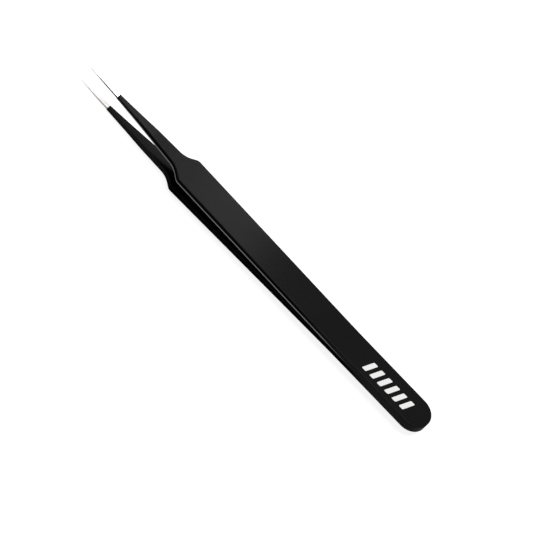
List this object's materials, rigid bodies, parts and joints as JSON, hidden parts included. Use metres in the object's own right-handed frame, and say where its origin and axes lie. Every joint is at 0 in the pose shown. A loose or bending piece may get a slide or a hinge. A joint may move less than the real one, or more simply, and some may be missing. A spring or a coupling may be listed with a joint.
{
  "type": "anti-static tweezers",
  "caption": "Slim tweezers with two sprung steel arms joined at a rounded rear end, a black static-dissipative coating and bare, finely pointed tips.",
  "frame": {"origin": "centre of the bounding box, on the middle plane between the two arms", "axes": "+X along the tweezers towards the rounded rear end, so the points are at -X; +Z from the lower arm to the upper arm; +Y across the arms"},
  "size_m": [0.118, 0.0092, 0.0062],
  "materials": {
    "spring_steel": "fine ground stainless steel",
    "weld_steel": "dull steel",
    "coating": "satin black anti-static coating"
  },
  "bodies": {
    "grip": {"upper_tail": "spring_steel", "lower_tail": "spring_steel", "rear_weld": "weld_steel", "front_weld": "weld_steel", "rear_coating": "coating"},
    "upper_limb": {"upper_arm": "spring_steel", "upper_coating": "coating"},
    "lower_limb": {"lower_arm": "spring_steel", "lower_coating": "coating"}
  },
  "joints": [
    {"name": "upper_spring", "type": "hinge", "parent": "grip", "child": "upper_limb", "pos_m": [-0.001, 0, 0.00133], "axis": [0, -1, 0], "range_deg": [0, 2.5], "stiffness_Nm_per_rad": 1.1},
    {"name": "lower_spring", "type": "hinge", "parent": "grip", "child": "lower_limb", "pos_m": [-0.001, 0, -0.00133], "axis": [0, -1, 0], "range_deg": [-2.5, 0], "stiffness_Nm_per_rad": 1.1}
  ],
  "couplings": [
    {"joint": "lower_spring", "follows": "upper_spring", "ratio": -1}
  ]
}
